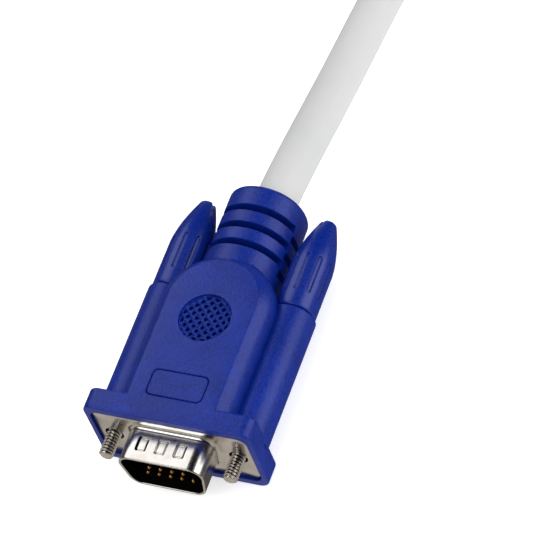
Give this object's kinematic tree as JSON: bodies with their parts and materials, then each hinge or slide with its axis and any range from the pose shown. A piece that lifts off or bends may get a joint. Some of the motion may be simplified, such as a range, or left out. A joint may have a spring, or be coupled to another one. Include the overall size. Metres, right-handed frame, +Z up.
{
  "type": "vga cable",
  "caption": "Computer monitor cable: a blue moulded D-shaped multi-pin plug with captive thumbscrews, a light grey round cord in a tied coil, and a like plug at the far end.",
  "frame": {"origin": "middle of the near plug's footprint, on the surface that it lies on", "axes": "+Y from the pins along the plug to its strain relief, +X to the right seen from the pins' end, +Z up"},
  "size_m": [0.1058, 0.2293, 0.0439],
  "materials": {
    "hood_pvc": "fine matte grain",
    "knob_pvc": "satin",
    "shell_steel": "bright nickel plate",
    "rod_steel": "nickel plate",
    "insulator_pbt": "satin black",
    "mould_pe": "waxy",
    "pin_gold": "gold flash over brass",
    "cord_pvc": "satin",
    "tie_fabric": "woven loop tape"
  },
  "bodies": {
    "cable": {"hood": "hood_pvc", "front_shell": "shell_steel", "rear_shell": "shell_steel", "insulator": "insulator_pbt", "inner_mould": "mould_pe", "pin_top_1": "pin_gold", "pin_top_2": "pin_gold", "pin_top_3": "pin_gold", "pin_top_4": "pin_gold", "pin_top_5": "pin_gold", "pin_middle_1": "pin_gold", "pin_middle_2": "pin_gold", "pin_middle_3": "pin_gold", "pin_middle_4": "pin_gold", "pin_bottom_1": "pin_gold", "pin_bottom_2": "pin_gold", "pin_bottom_3": "pin_gold", "pin_bottom_4": "pin_gold", "pin_bottom_5": "pin_gold", "hood_far": "hood_pvc", "front_shell_far": "shell_steel", "rear_shell_far": "shell_steel", "insulator_far": "insulator_pbt", "inner_mould_far": "mould_pe", "pin_top_1_far": "pin_gold", "pin_top_2_far": "pin_gold", "pin_top_3_far": "pin_gold", "pin_top_4_far": "pin_gold", "pin_top_5_far": "pin_gold", "pin_middle_1_far": "pin_gold", "pin_middle_2_far": "pin_gold", "pin_middle_3_far": "pin_gold", "pin_middle_4_far": "pin_gold", "pin_bottom_1_far": "pin_gold", "pin_bottom_2_far": "pin_gold", "pin_bottom_3_far": "pin_gold", "pin_bottom_4_far": "pin_gold", "pin_bottom_5_far": "pin_gold", "cord": "cord_pvc", "cord_coil": "cord_pvc", "cord_lead": "cord_pvc", "cord_tie": "tie_fabric"},
    "thumbscrew_left": {"knob_left": "knob_pvc", "screw_left": "rod_steel"},
    "thumbscrew_right": {"knob_right": "knob_pvc", "screw_right": "rod_steel"},
    "thumbscrew_left_far": {"knob_left_far": "knob_pvc", "screw_left_far": "rod_steel"},
    "thumbscrew_right_far": {"knob_right_far": "knob_pvc", "screw_right_far": "rod_steel"}
  },
  "joints": [
    {"name": "thumbscrew_left_turn", "type": "hinge", "parent": "cable", "child": "thumbscrew_left", "pos_m": [-0.0125, -0.02305, 0.0092], "axis": [0, 1, 0], "continuous": true},
    {"name": "thumbscrew_right_turn", "type": "hinge", "parent": "cable", "child": "thumbscrew_right", "pos_m": [0.0125, -0.02305, 0.0092], "axis": [0, 1, 0], "continuous": true},
    {"name": "thumbscrew_left_far_turn", "type": "hinge", "parent": "cable", "child": "thumbscrew_left_far", "pos_m": [0.012, 0.1911, 0.0347], "axis": [0, 1, 0], "continuous": true},
    {"name": "thumbscrew_right_far_turn", "type": "hinge", "parent": "cable", "child": "thumbscrew_right_far", "pos_m": [-0.013, 0.1911, 0.0347], "axis": [0, 1, 0], "continuous": true}
  ]
}
